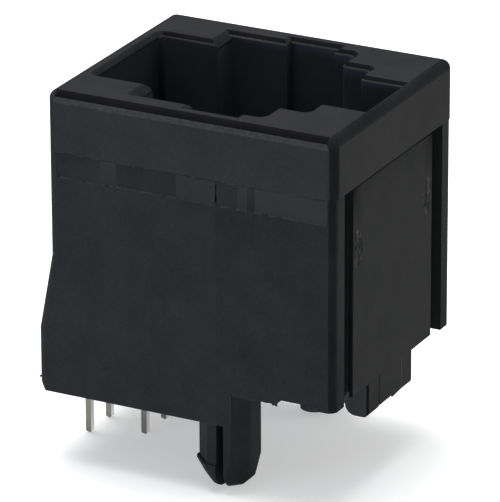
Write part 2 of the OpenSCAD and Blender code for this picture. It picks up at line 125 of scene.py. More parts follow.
# Angles between two faces in degrees: where they count as one, bound a chamfer, look smooth or form a
# sharp edge, and where one of them must have turned over
FLAT_ANGLE = 0.5
CHAMFER_ANGLE = 20
SMOOTH_ANGLE = 30
SHARP_ANGLE = 60
FOLD_ANGLE = 100

# Corners closer than this are one corner, in a solid's mesh and beside a cut
MERGE = 0.001
CUT_MERGE = 0.00001

# Widths of the small rounds: the panel's upright edges, the pads' corners, the mouth's edges, the housing's
# other sharp edges, and the comb's, where these are long enough
PANEL_EDGE_R = 0.15
PAD_EDGE_R = 0.1
MOUTH_EDGE_R = 0.06
SHARP_EDGE_R = 0.03
COMB_EDGE_R = 0.02
COMB_EDGE_MIN = 0.3
# How often edges too tight for a round are looked for, and within how many widths of what turned over
ROUND_TRIES = 8
ROUND_REACH = 3
# Places are compared to this many decimals of a millimetre where their order counts
ORDER_DIGITS = 4

# The face attributes that the plastics and the tin read, the first holding the mould's own tone together
# with painted light and shade, and the housing's finishes in their order
TONE = "mould_tone_and_painted_light"
SLIT_EDGE_SHADE = "shaded_slit_edge"
TEXTURED_FACE, SMOOTH_SHADED_FACE, SATIN_LIT_FACE = range(3)

# How much lighter or darker than the rim the other textured faces are
WALL_TONE = -0.28
PANEL_TONE = -0.28
STRIP_TONE = -0.95
# Painted shade: the latch side's upright rounds and the round along its upper edge, the slots, and the
# opening's lead-in chamfers, which turn from the light or lie in a recess
CORNER_SHADE = -0.9
LATCH_ROUND_SHADE = -0.65
SLOT_SHADE = -0.25
LEAD_IN_SHADE = -0.5
# Painted light: the foot is made lighter where the lamps leave it in shade
FOOT_LIGHT = 0.5
POST_TONE = -0.35
# How much darker than the cavity's other walls the contact bay's back wall is: painted shade, deep in the
# cavity
BAY_SHADE = -0.66

# The marks on the housing fall the same way each time
MARKS_SEED = 4

# The shallow band that the tool's two halves leave around the side walls
BAND_LOW = 11.18
BAND_HIGH = 12.45
BAND_DEPTH = 0.06
# Where its patches end along X, and how much lighter or darker than the wall each is
PATCH_ENDS = (-4.8, -3.95, -2.5, -0.75, 1.34, 1.38, 2.5, 3.0, 3.4)
PATCH_TONES = (-0.06, 0.3, -0.15, -0.08, 0.35, -0.4, 0.0, 0.35, -0.1, 0.48)
# How much lighter its upright ends are, which turn away from the wall: painted light, lifting the shade
# they would have where they face away from the lamps
BAND_END_LIGHT = 0.7
# How many cuts make the torn bits of a patch's border, how far these stray, and how light or dark they are:
# mostly painted shade on the upper border, which faces down, and mostly painted highlight on the lower one,
# which faces up
BORDER_CUTS = 9
UPPER_STRAY = 0.012
LOWER_STRAY = 0.015
UPPER_SHADE_BITS = (-0.7, -0.5, -0.4, -0.3, 0.0, 0.9)
LOWER_LIGHT_BITS = (-0.2, 0.2, 0.4, 0.6, 0.9, 1.1)

# Painted highlight where the light catches the edges: the lower part of the rim's round, which points this
# much along Y, this much of the side walls below it, both in bits of uneven length and tone, and the lower
# edges of the mouth's chamfers
HIGHLIGHT_TURN = 0.88
HIGHLIGHT_H = 0.1
HIGHLIGHT_TONE = 0.9
HIGHLIGHT_STEP = 0.12
UNEVEN = (0.5, 1.5)

# How far in from its borders the floor of a sunken strip starts
SUNK_INSET = 0.01

# The gap between the rim and the panel below it
CREASE_H = 0.16
CREASE_DEPTH = 0.25

# The mould line below the band, and how much darker the wall is beyond it, by painted shade
MOULD_LINE_X = 1.38
MOULD_LINE_W = 0.05
MOULD_LINE_DEPTH = 0.01
MOULD_LINE_SHADE = -0.1

# Thin lines of painted shadow where the panel meets the foot below it, and where the foot's middle meets
# its pads painted shade at the near end and a painted highlight at the far end
LINE_W = 0.07
PANEL_SHADOW_LINE = -0.35
WEB_LINE_SHADE_AND_LIGHT = 0.4

# The two torn gates on the panel: their size along Z and Y, their places in Y and Z, how finely each is
# cut up in two goes, and how rough it is
SCAR_SIZE = (1.8, 0.95)
SCARS = ((-3.72, 9.25), (3.74, 9.3))
SCAR_CUTS = (3, 3)
SCAR_ROUGH = 0.03
# The flecks in each: how many, their half width, the square of how much longer than wide they are, and how
# much darker or lighter they can be, the lighter ones paler torn plastic and painted glints
FLECKS = 34
FLECK_R = (0.06, 0.14)
FLECK_DRAWN = 3
FLECK_TONES_AND_GLINTS = (-0.95, -0.95, -0.8, -0.6, 0.6, 1.2, 1.8)

# Flash left along the tool's parting edges: where each film starts and ends, and how far it reaches
FLASH = (
    ((2.2, -6.33, 1.76), (4.55, -6.33, 1.76), (0, 0, -0.09)),
    ((2.2, 6.33, 1.76), (4.55, 6.33, 1.76), (0, 0, -0.09)),
    ((4.3, -6.3, 1.76), (4.58, -6.3, 1.76), (0, 0, -0.22)),
    ((2.09, -6.33, 0.1), (2.09, -6.33, 1.7), (0.07, 0, 0)),
    ((2.09, 6.33, 0.1), (2.09, 6.33, 1.7), (0.07, 0, 0)),
    ((7.42, -5.23, 1.86), (7.42, -4.42, 1.86), (0, 0, 0.42)),
    ((-8.33, -6.02, 0.6), (-8.25, -6.18, 0.6), (-0.1, -0.05, 0)),
    ((7.4, 0.2, 0.28), (7.4, 1.05, 0.28), (0, 0, -0.16)),
)
# A film's thickness, the length of its torn bits, and what share of its reach is left
FLASH_T = 0.03
FLASH_STEP = 0.2
FLASH_LEFT = (0.5, 1.0)
FLASH_SEED = 11

# The floor's half width in metres, and how much it glows for the eye and for reflections
FLOOR_HALF = 2.0
FLOOR_GLOW = 0.4

# The lamps: the way to each from a point this high in the jack, how far off it stands and its width and
# height in metres, its watts, its colour, and whether it shows in reflections; and the world around them
LAMP_AIM_Z = 6
SOFTBOXES = (
    ("window", (-0.47, -0.87, 0.05), 0.40, (0.16, 0.03), 0.72, "#d4e2ff", True),
    ("overhead", (-0.15, 0.1, 0.98), 0.15, (0.12, 0.12), 0.30, "#ffffff", False),
    ("right_side", (0.85, 0.35, 0.35), 0.45, (0.25, 0.25), 0.44, "#fffdf8", False),
)
WORLD_COLOUR = "#f4f5f6"
WORLD_STRENGTH = 0.42

# The camera, fitted to the outline of the rim, the walls and the bulge: its way round, height and roll in
# degrees, where it aims, how far off it stands, and how far it is moved to the right and upwards
CAMERA_AROUND = 27.397
CAMERA_ABOVE = 21.812
CAMERA_ROLL = -0.218
CAMERA_AIM = (0, 0.004, 7.741)
CAMERA_FAR = 257.102
CAMERA_RIGHT = -0.092
CAMERA_UP = -1.231
# Its focal length and the height of the photograph in pixels, and the width of its sensor in millimetres
FOCAL_PX = 5351.8
PHOTO_H_PX = 502
SENSOR_W = 36


def linear(code):
    """An sRGB hex colour as linear RGBA."""
    parts = [int(code[i : i + 2], 16) / 255 for i in (1, 3, 5)]
    return tuple(c / 12.92 if c <= 0.04045 else ((c + 0.055) / 1.055) ** 2.4 for c in parts) + (1.0,)


def per_mm(size):
    """Scale of a pattern on object coordinates whose features are this many millimetres across."""
    return 1 / (size * MM)


def add(material, kind, settings=None, **links):
    """One node with its settings; a link names a socket, or gives its _number, and what feeds it."""
    n = material.node_tree.nodes.new(kind)
    for key, value in (settings or {}).items():
        setattr(n, key, value)
    for key, value in links.items():
        socket = n.inputs[int(key[1:])] if key[1:].isdigit() else n.inputs[key.replace("_", " ")]
        if isinstance(value, bpy.types.NodeSocket):
            material.node_tree.links.new(value, socket)
        else:
            socket.default_value = value
    return n


def blank(name):
    """A material without nodes."""
    material = bpy.data.materials.new(name)
    material.use_nodes = True
    material.node_tree.nodes.clear()
    return material


def spark_textured_pbt():
    """Black glass-filled PBT moulded against a spark-eroded tool: a dull, finely pitted face."""
    m = blank("spark_textured_pbt")
    at = add(m, "ShaderNodeTexCoord").outputs["Object"]
    # flow marks a few millimetres across
    flow = add(m, "ShaderNodeTexNoise", Vector=at, Scale=per_mm(3.0), Detail=5.0, Roughness=0.7)
    # pits of about 0.05 mm, drawn at 0.09 mm so that they show
    pits = add(m, "ShaderNodeTexNoise", Vector=at, Scale=per_mm(0.09), Detail=2.0, Roughness=0.6)
    # drag marks from ejection, about 0.5 mm apart and drawn out along Z
    along = add(m, "ShaderNodeMapping", Vector=at, Scale=(1.0, 1.0, 0.12))
    drag = add(m, "ShaderNodeTexNoise", Vector=along.outputs[0], Scale=per_mm(0.5), Detail=3.0)
    # the face's tone: the mould's own patches, and on some faces painted highlights and painted shade
    shade = add(m, "ShaderNodeAttribute", {"attribute_name": TONE}).outputs["Fac"]
    for marks, share in ((flow, 1.1), (pits, 0.9), (drag, 0.15)):
        shade = add(
            m, "ShaderNodeMath", {"operation": "MULTIPLY_ADD"}, _0=marks.outputs["Fac"], _1=share, _2=shade,
        ).outputs[0]
    shade = add(m, "ShaderNodeMapRange", {"clamp": False}, Value=shade, From_Min=0.58, From_Max=1.58)
    colour = add(
        m, "ShaderNodeMix", {"data_type": "RGBA", "clamp_factor": False}, Factor=shade.outputs[0],
        _6=linear("#1e1f20"), _7=linear("#313132"),
    )
    dull = add(m, "ShaderNodeMapRange", Value=pits.outputs["Fac"], To_Min=0.68, To_Max=0.84)
    bump = add(m, "ShaderNodeBump", Strength=0.35, Distance=0.02 * MM, Height=pits.outputs["Fac"])
    shader = add(
        m, "ShaderNodeBsdfPrincipled", Base_Color=colour.outputs[2], Roughness=dull.outputs[0],
        Specular_IOR_Level=0.1, Normal=bump.outputs[0],
    )
    add(m, "ShaderNodeOutputMaterial", Surface=shader.outputs[0])
    return m


def smooth_shaded_pbt():
    """Black PBT moulded against polished steel: rounds and chamfers, with a soft shine; its darker colour
    is painted shade, standing in for the dark surroundings that such rounds reflect.
    """
    m = blank("smooth_shaded_pbt")
    at = add(m, "ShaderNodeTexCoord").outputs["Object"]
    # flow marks of about 1.5 mm
    flow = add(m, "ShaderNodeTexNoise", Vector=at, Scale=per_mm(1.5), Detail=3.0, Roughness=0.6)
    # painted shade: darker than the textured plastic of the same black PBT
    colour = add(
        m, "ShaderNodeMix", {"data_type": "RGBA"}, Factor=flow.outputs["Fac"],
        _6=linear("#0d0d0f"), _7=linear("#17171a"),
    )
    sheen = add(m, "ShaderNodeMapRange", Value=flow.outputs["Fac"], To_Min=0.36, To_Max=0.48)
    # fine scuffs of about 0.15 mm
    scuff = add(m, "ShaderNodeTexNoise", Vector=at, Scale=per_mm(0.15), Detail=2.0)
    bump = add(m, "ShaderNodeBump", Strength=0.2, Distance=0.02 * MM, Height=scuff.outputs["Fac"])
    shader = add(
        m, "ShaderNodeBsdfPrincipled", Base_Color=colour.outputs[2], Roughness=sheen.outputs[0],
        Specular_IOR_Level=0.015, Normal=bump.outputs[0],
    )
    add(m, "ShaderNodeOutputMaterial", Surface=shader.outputs[0])
    return m


def satin_lit_pbt():
    """Black PBT moulded against a plain machined core: the cavity, the underside and the carrier, in a
    lighter, bluer colour than the textured faces that is painted light, standing in for the cool light
    reaching into the cavity.
    """
    m = blank("satin_lit_pbt")
    at = add(m, "ShaderNodeTexCoord").outputs["Object"]
    # flow marks of about 2 mm
    flow = add(m, "ShaderNodeTexNoise", Vector=at, Scale=per_mm(2.0), Detail=3.0, Roughness=0.6)
    tone = add(m, "ShaderNodeAttribute", {"attribute_name": TONE})
    shade = add(m, "ShaderNodeMath", {"operation": "ADD"}, _0=flow.outputs["Fac"], _1=tone.outputs["Fac"])
    # painted light: lighter and bluer than the textured plastic
    colour = add(
        m, "ShaderNodeMix", {"data_type": "RGBA", "clamp_factor": False}, Factor=shade.outputs[0],
        _6=linear("#272a30"), _7=linear("#33373e"),
    )
    # cutter marks on the core run along the plug's way in, about 0.12 mm apart
    along = add(m, "ShaderNodeMapping", Vector=at, Scale=(1.0, 1.0, 0.05))
    marks = add(m, "ShaderNodeTexNoise", Vector=along.outputs[0], Scale=per_mm(0.12), Detail=2.0)
    dull = add(m, "ShaderNodeMapRange", Value=marks.outputs["Fac"], To_Min=0.55, To_Max=0.7)
    bump = add(m, "ShaderNodeBump", Strength=0.12, Distance=0.02 * MM, Height=marks.outputs["Fac"])
    shader = add(
        m, "ShaderNodeBsdfPrincipled", Base_Color=colour.outputs[2], Roughness=dull.outputs[0],
        Specular_IOR_Level=0.1, Normal=bump.outputs[0],
    )
    add(m, "ShaderNodeOutputMaterial", Surface=shader.outputs[0])
    return m


def tin_plate():
    """Tin-plated phosphor bronze: bright and a little clouded where rolled, darker on its slit edges, which
    are duller and also carry painted shade.
    """
    m = blank("tin_plate")
    at = add(m, "ShaderNodeTexCoord").outputs["Object"]
    # draw marks run along the wire, about 0.04 mm apart
    along = add(m, "ShaderNodeMapping", Vector=at, Scale=(1.0, 1.0, 0.08))
    drawn = add(m, "ShaderNodeTexNoise", Vector=along.outputs[0], Scale=per_mm(0.04), Detail=2.0)
    # clouds of about 0.6 mm
    cloud = add(m, "ShaderNodeTexNoise", Vector=at, Scale=per_mm(0.6), Detail=3.0)
    rolled = add(
        m, "ShaderNodeMix", {"data_type": "RGBA"}, Factor=cloud.outputs["Fac"],
        _6=linear("#d0cfc9"), _7=linear("#ecebe6"),
    )
    # the slit edges: duller tin, made darker still by painted shade
    slit = add(
        m, "ShaderNodeMix", {"data_type": "RGBA"}, Factor=cloud.outputs["Fac"],
        _6=linear("#64635b"), _7=linear("#7c7b72"),
    )
    edge = add(m, "ShaderNodeAttribute", {"attribute_name": SLIT_EDGE_SHADE})
    colour = add(
        m, "ShaderNodeMix", {"data_type": "RGBA"}, Factor=edge.outputs["Fac"],
        _6=rolled.outputs[2], _7=slit.outputs[2],
    )
    dull = add(m, "ShaderNodeMapRange", Value=drawn.outputs["Fac"], To_Min=0.24, To_Max=0.42)
    bump = add(m, "ShaderNodeBump", Strength=0.15, Distance=0.01 * MM, Height=drawn.outputs["Fac"])
    shader = add(
        m, "ShaderNodeBsdfPrincipled", Base_Color=colour.outputs[2], Metallic=1.0,
        Roughness=dull.outputs[0], Normal=bump.outputs[0],
    )
    add(m, "ShaderNodeOutputMaterial", Surface=shader.outputs[0])
    return m


def studio_floor():
    """White sweep: lit by the lamps, lifted to white for the eye and for reflections."""
    m = blank("studio_floor")
    path = add(m, "ShaderNodeLightPath").outputs
    seen = add(
        m, "ShaderNodeMath", {"operation": "ADD"},
        _0=path["Is Camera Ray"], _1=path["Is Glossy Ray"],
    )
    seen = add(
        m, "ShaderNodeMath", {"operation": "ADD", "use_clamp": True},
        _0=seen.outputs[0], _1=path["Is Transmission Ray"],
    )
    lift = add(m, "ShaderNodeMath", {"operation": "MULTIPLY"}, _0=seen.outputs[0], _1=FLOOR_GLOW)
    matt = add(m, "ShaderNodeBsdfDiffuse", Color=linear("#e8e8e8"))
    glow = add(m, "ShaderNodeEmission", Strength=lift.outputs[0])
    both = add(m, "ShaderNodeAddShader", _0=matt.outputs[0], _1=glow.outputs[0])
    add(m, "ShaderNodeOutputMaterial", Surface=both.outputs[0])
    return m


def copy_of(node):
    """A merged copy of a CAD node's mesh, its flat faces made whole."""
    bm = bmesh.new()
    bm.from_mesh(frame["nodes"][node].data)
    bmesh.ops.remove_doubles(bm, verts=bm.verts, dist=MERGE * MM)
    bmesh.ops.dissolve_limit(bm, angle_limit=math.radians(FLAT_ANGLE), verts=bm.verts, edges=bm.edges)
    for f in bm.faces:
        f.material_index = 0
    return bm


def middle(item):
    """Middle of an edge or face in millimetres."""
    points = [v.co for v in item.verts]
    return sum(points, Vector()) / len(points) / MM


def once(items):
    """Each item once, in the order they come."""
    return list(dict.fromkeys(items))


def in_order(items):
    """Edges or faces in the order of their places, so that random choices fall the same way each time."""
    return sorted(items, key=lambda item: tuple(round(c, ORDER_DIGITS) for c in middle(item)))


def corners_in_order(items):
    """The vertices among some items in the order of their places, for random choices too."""
    return sorted((v for v in items if isinstance(v, bmesh.types.BMVert)), key=lambda v: tuple(v.co))


def corner_angle(edge):
    """How far two faces turn at their edge, in degrees: above zero outside, below zero in a hollow."""
    return math.degrees(edge.calc_face_angle_signed(0.0)) if edge.is_manifold else 0.0


def bevel(bm, edges, width, segments):
    """Rounds edges and gives back the faces of the rounds."""
    return bmesh.ops.bevel(
        bm, geom=edges, offset=width * MM, offset_type="OFFSET", affect="EDGES", segments=segments,
        profile=0.5, material=-1, clamp_overlap=False,
    )["faces"]


def near(edge, spot, reach):
    """Whether a spot lies within reach of an edge, in millimetres."""
    a, b = (v.co / MM for v in edge.verts)
    share = max(0.0, min(1.0, (spot - a).dot(b - a) / (b - a).length_squared))
    return (a.lerp(b, share) - spot).length < reach


def folds(bm):
    """Middles of the edges that are so sharp that a face beside them must have turned over."""
    bm.normal_update()
    limit = math.radians(FOLD_ANGLE)
    return [middle(e) for e in bm.edges if e.is_manifold and e.calc_face_angle() > limit]


def soften(bm, edges, width, segments=2):
    """Rounds these edges, apart from those so close to others that the rounds would turn over."""
    bm.edges.index_update()
    bm.edges.ensure_lookup_table()
    chosen = {e.index for e in edges}
    was_sharp = folds(bm)
    for _ in range(ROUND_TRIES):
        trial = bm.copy()
        trial.edges.ensure_lookup_table()
        bevel(trial, [trial.edges[i] for i in sorted(chosen)], width, segments)
        turned = [c for c in folds(trial) if all((c - old).length > width for old in was_sharp)]
        trial.free()
        tight = {i for i in chosen if any(near(bm.edges[i], c, ROUND_REACH * width) for c in turned)}
        if not tight:
            break
        chosen -= tight
    return bevel(bm, [bm.edges[i] for i in sorted(chosen)], width, segments)


def cut(bm, faces, axis, at):
    """Splits faces at a place along an axis, in millimetres, and gives back all their pieces."""
    across = Vector((0, 0, 0))
    across[axis] = 1
    geom = once(faces) + once(e for f in faces for e in f.edges) + once(v for f in faces for v in f.verts)
    done = bmesh.ops.bisect_plane(
        bm, geom=geom, dist=CUT_MERGE * MM, plane_co=across * at * MM, plane_no=across,
    )["geom"]
    return once(g for g in done if isinstance(g, bmesh.types.BMFace))


def within(faces, low, high, axis):
    """The faces whose middles lie between two places along an axis, in millimetres."""
    return [f for f in faces if low < middle(f)[axis] < high]


def place(bm, name, node, materials):
    """Turns a finished bmesh into a piece that rides on the jack and may stand for a CAD node."""
    mesh = bpy.data.meshes.new(name)
    bm.to_mesh(mesh)
    bm.free()
    for m in materials:
        mesh.materials.append(m)
    mesh.polygons.foreach_set("use_smooth", [True] * len(mesh.polygons))
    mesh.set_sharp_from_angle(angle=math.radians(SMOOTH_ANGLE))
    piece = bpy.data.objects.new(name, mesh)
    bpy.context.scene.collection.objects.link(piece)
    normals = piece.modifiers.new("even_normals", "WEIGHTED_NORMAL")
    normals.keep_sharp = True
    normals.weight = 90
    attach(piece, "root")
    if node:
        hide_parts(node)


def upright(edge):
    """Whether an edge runs along Z."""
    a, b = (v.co for v in edge.verts)
    return abs(a.z - b.z) > LARGELY * (a - b).length


def on_panel_side(edge):
    """Whether an edge is one of the panel's two upright edges, beside the slots."""
    c = middle(edge)
    return upright(edge) and abs(c.x - PANEL_X) < ON_FACE and abs(abs(c.y) - PANEL_Y) < CLOSE


def on_pad(edge):
    """Whether an edge is an upright outer edge of the long foot's pads."""
    c = middle(edge)
    outer = WEB_END_Y + ROOM < abs(c.y) < PAD_END_Y and c.x > LATCH_X - PAD_DEPTH
    return outer and c.z < UNDER_Z and upright(edge)


def on_mouth(edge):
    """Whether an edge bounds the chamfers around the plug opening."""
    c = middle(edge)
    if abs(c.y) > MOUTH_Y or not MOUTH_X[0] < c.x < MOUTH_X[1] or corner_angle(edge) < CHAMFER_ANGLE:
        return False
    heights = (TOP_Z, TOP_Z - MOUTH_CHAMFER, TOP_Z - STEP_CHAMFER)
    return any(all(abs(v.co.z / MM - z) < ON_LINE for v in edge.verts) for z in heights)


def under_rim(edge):
    """Whether an edge lies where the rim's lower edge meets the latch-side panel."""
    c = middle(edge)
    return c.x > PANEL_X - ROOM and abs(c.z - RIM_Z) < ON_LINE


def on_post(spot):
    """Whether a spot below the floor belongs to one of the split posts."""
    if spot.z >= UNDER_Z or abs(spot.y) <= POST_Y or not POST_X[0] < spot.x < POST_X[1]:
        return False
    return spot.z < 0 or abs(spot.y) < SIDE_Y - CLOSE


def in_slot(spot):
    """Whether a spot is in one of the two slots beside the panel, or on the panel's rounded edge there."""
    across = PANEL_Y - WIDE_ROOM < abs(spot.y) < SLOT_Y + ROOM
    return across and spot.x > SLOT_X and UNDER_Z < spot.z < RIM_Z + ROOM


def on_lead_in(f):
    """Whether a face is on a chamfer of the plug opening that slopes towards the latch."""
    c, n = middle(f), f.normal
    slopes = TILTED < n.x < STEEP and A_LITTLE < n.z < STEEP
    return slopes and c.z > TOP_Z - STEP_CHAMFER - ROOM and c.x < MOUTH_X[1]


def on_corner(f):
    """Whether a face is in one of the two upright rounds on the latch side."""
    c, n = middle(f), f.normal
    beyond = c.x > LATCH_X - EDGE_R and abs(c.y) > SIDE_Y - EDGE_R
    return beyond and abs(n.z) < A_LITTLE and HARDLY < n.x < SQUARE and abs(n.y) < MOSTLY


def on_latch_round(f):
    """Whether a face is in the round along the rim's upper edge on the latch side."""
    c, n = middle(f), f.normal
    beyond = c.x > LATCH_X - EDGE_R and c.z > TOP_Z - EDGE_R
    return beyond and HARDLY < n.x < SQUARE and HARDLY < n.z < SQUARE


def on_highlit_round(f):
    """Whether a face is in the lower part of the round along the rim's upper edge, on a side wall."""
    c, n = middle(f), f.normal
    beyond = abs(c.y) > SIDE_Y - WIDE_ROOM and c.z > TOP_Z - EDGE_R
    return beyond and HIGHLIGHT_TURN < abs(n.y) < SQUARE and abs(n.x) < SLIGHTLY


def finish_of(f):
    """Which finish a face of the housing has; the smooth finish carries painted shade, the satin one
    painted light.
    """
    c, n = middle(f), f.normal
    side = abs(n.y) > MOSTLY and abs(c.y) > SIDE_Y - WIDE_ROOM and abs(n.z) < TILTED
    latch = n.x > SQUARE and c.x > PANEL_X - ROOM
    contact = n.x < -SLIGHTLY and c.x < CONTACT_X + OUTER_SKIN and abs(n.z) < STEEP
    top = n.z > FACING and c.z > TOP_Z - CLOSE
    below = c.z < UNDER_Z + ROOM and (max(abs(n.x), abs(n.y)) > FACING or on_post(c))
    turning = on_lead_in(f) or on_corner(f) or on_latch_round(f)
    if side or latch or contact or top or below or turning:
        return TEXTURED_FACE
    if in_slot(c):
        return SMOOTH_SHADED_FACE if A_LITTLE < n.x < LARGELY else TEXTURED_FACE
    cavity = abs(c.y) < MOUTH_Y and CAVITY_FLOOR_Z - ROOM < c.z < TOP_Z - STEP_CHAMFER - ROOM
    underside = c.z < UNDER_Z + ROOM and abs(c.x) < LATCH_X - OUTER_SKIN
    return SATIN_LIT_FACE if cavity or underside else SMOOTH_SHADED_FACE


def tone_of(f):
    """How much lighter or darker than the rim a textured face is, or than the cavity a satin one; on
    rounds, chamfers, slots, the foot and the bay's back wall this is painted shade or light.
    """
    c, n = middle(f), f.normal
    if f.material_index == SATIN_LIT_FACE:
        return BAY_SHADE if n.x > HALFWAY and c.x < BAY_X else 0.0
    if on_latch_round(f):
        return LATCH_ROUND_SHADE
    if on_lead_in(f):
        return LEAD_IN_SHADE
    if on_corner(f):
        return CORNER_SHADE
    if c.z > RIM_Z:
        return 0.0
    if n.x > LARGELY and c.x > PANEL_X - ROOM:
        return STRIP_TONE if abs(c.y) > PANEL_Y + ROOM else PANEL_TONE
    if in_slot(c):
        return SLOT_SHADE
    if c.z < UNDER_Z and c.x > FOOT_X:
        return FOOT_LIGHT
    return POST_TONE if on_post(c) else WALL_TONE


def wall_faces(bm, side):
    """The flat faces of one side wall."""
    return [f for f in bm.faces if f.normal.y * side > FACING and abs(abs(middle(f).y) - SIDE_Y) < ON_FACE]


def panel_faces(bm):
    """The flat faces of the latch-side panel."""
    return [f for f in bm.faces if f.normal.x > FACING and abs(middle(f).x - PANEL_X) < ON_FACE]


def ragged(bm, faces, height, stray, rng):
    """Makes the straight border of faces at a height uneven, as where two halves of a tool meet."""
    edges = once(e for f in faces for e in f.edges)
    border = [e for e in edges if all(abs(v.co.z / MM - height) < ON_LINE for v in e.verts)]
    new = bmesh.ops.subdivide_edges(bm, edges=border, cuts=BORDER_CUTS)["geom_inner"]
    for v in corners_in_order(new):
        v.co.z += rng.uniform(-stray, stray) * MM


def tool_band(bm, side, tone, rng):
    """The band between the tool's halves, patchy and with torn borders, on one side wall; the borders'
    slopes carry painted shade and highlight.
    """
    wall = wall_faces(bm, side)
    for z in (BAND_LOW, BAND_HIGH):
        wall = cut(bm, wall, Z, z)
    band = within(wall, BAND_LOW, BAND_HIGH, Z)
    for x in PATCH_ENDS:
        band = cut(bm, band, X, x)
    for f in band:
        patch = sum(middle(f).x > x for x in PATCH_ENDS)
        f[tone] = WALL_TONE + PATCH_TONES[patch]
    ragged(bm, band, BAND_LOW, LOWER_STRAY, rng)
    ragged(bm, band, BAND_HIGH, UPPER_STRAY, rng)
    slopes = bmesh.ops.inset_region(
        bm, faces=band, thickness=BAND_DEPTH * MM, depth=-BAND_DEPTH * MM, use_even_offset=True,
    )["faces"]
    bm.normal_update()
    for f in in_order(slopes):
        # painted light on the upright ends, painted shade on slopes facing down, painted highlight on those
        # facing up
        bits = (BAND_END_LIGHT,)
        if abs(f.normal.z) > TILTED:
            bits = UPPER_SHADE_BITS if f.normal.z < 0 else LOWER_LIGHT_BITS
        f[tone] = WALL_TONE + rng.choice(bits)


def highlit_rim(bm, side, tone, rng):
    """A painted highlight along the rim's upper edge, in short uneven bits, on one side wall."""
    worn_z = TOP_Z - EDGE_R - HIGHLIGHT_H
    rim = cut(bm, within(wall_faces(bm, side), BAND_HIGH, TOP_Z, Z), Z, worn_z)
    for f in rim:
        f[tone] = 0.0
    highlit = within(rim, worn_z, TOP_Z, Z)
    highlit += [f for f in bm.faces if on_highlit_round(f) and f.normal.y * side > 0]
    x = CONTACT_X + EDGE_R
    while x < LATCH_X - EDGE_R:
        highlit = cut(bm, highlit, X, x)
        x += rng.uniform(*UNEVEN) * HIGHLIGHT_STEP
    for f in in_order(highlit):
        f[tone] = rng.uniform(*UNEVEN) * HIGHLIGHT_TONE


def mould_line(bm, side, tone):
    """The fine line that the tool leaves below the band, and painted shade on the wall beyond it, on one
    side.
    """
    line_end = MOULD_LINE_X + MOULD_LINE_W
    below = within(wall_faces(bm, side), 0, BAND_LOW, Z)
    for x in (MOULD_LINE_X, line_end):
        below = cut(bm, below, X, x)
    # painted shade on the wall beyond the line
    for f in within(below, MOULD_LINE_X, LATCH_X, X):
        f[tone] = WALL_TONE + MOULD_LINE_SHADE
    line = within(below, MOULD_LINE_X, line_end, X)
    bmesh.ops.inset_region(
        bm, faces=line, thickness=SUNK_INSET * MM, depth=-MOULD_LINE_DEPTH * MM, use_even_offset=True,
    )


def crease(bm):
    """The dark gap that the panel's own insert leaves below the rim."""
    panel = cut(bm, panel_faces(bm), Z, RIM_Z - CREASE_H)
    gap = within(panel, RIM_Z - CREASE_H, RIM_Z, Z)
    bmesh.ops.inset_region(
        bm, faces=gap, thickness=SUNK_INSET * MM, depth=-CREASE_DEPTH * MM, use_even_offset=True,
    )


def foot_lines(bm, tone):
    """Painted shadow along the panel's lower edge, and painted shade and highlight at the ends of the
    foot's middle stretch.
    """
    panel = cut(bm, panel_faces(bm), Z, UNDER_Z + LINE_W)
    # a painted shadow below the panel
    for f in within(panel, UNDER_Z, UNDER_Z + LINE_W, Z):
        f[tone] = PANEL_SHADOW_LINE
    web = [f for f in bm.faces if f.normal.x > FACING and middle(f).z < UNDER_Z]
    web = within(web, -WEB_END_Y, WEB_END_Y, Y)
    line_y = WEB_END_Y - LINE_W
    # painted shade at the near end, painted highlight at the far end
    for way in (-1, 1):
        web = cut(bm, web, Y, way * line_y)
        for f in web:
            c = middle(f)
            if c.y * way > line_y and c.x > PANEL_X - ROOM:
                f[tone] = way * WEB_LINE_SHADE_AND_LIGHT


def gate_scar(bm, y, z, tone, rng):
    """A torn patch on the latch-side panel, rough and flecked with darker bits and with light ones that are
    partly painted glints, inside an uneven outline.
    """
    long, wide = SCAR_SIZE

    def inside(faces):
        """The faces between the patch's borders."""
        return within(within(faces, y - wide / 2, y + wide / 2, Y), z - long / 2, z + long / 2, Z)

    patch = panel_faces(bm)
    for way in (-1, 1):
        patch = cut(bm, patch, Z, z + way * long / 2)
        patch = cut(bm, patch, Y, y + way * wide / 2)
    patch = inside(patch)
    for cuts in SCAR_CUTS:
        edges = once(e for f in patch for e in f.edges)
        new = bmesh.ops.subdivide_edges(bm, edges=edges, cuts=cuts, use_grid_fill=True)["geom_inner"]
        patch = inside(once(f for v in new if isinstance(v, bmesh.types.BMVert) for f in v.link_faces))
    for v in corners_in_order(once(v for f in patch for v in f.verts)):
        across, along = (v.co.y / MM - y) / wide * 2, (v.co.z / MM - z) / long * 2
        from_edge = max(0.0, 1 - across * across - along * along)
        v.co.x += rng.uniform(-SCAR_ROUGH, SCAR_ROUGH) * min(1.0, 2 * from_edge) * MM
    for _ in range(FLECKS):
        turn, out = rng.uniform(0, math.tau), math.sqrt(rng.random()) / 2
        spot = Vector((0, y + out * wide * math.cos(turn), z + out * long * math.sin(turn)))
        # each fleck darker, or lighter as paler torn plastic and a painted glint
        size, change = rng.uniform(*FLECK_R), rng.choice(FLECK_TONES_AND_GLINTS)
        for f in patch:
            off = (middle(f) - spot) / size
            if off.y * off.y + off.z * off.z / FLECK_DRAWN < 1:
                f[tone] = change


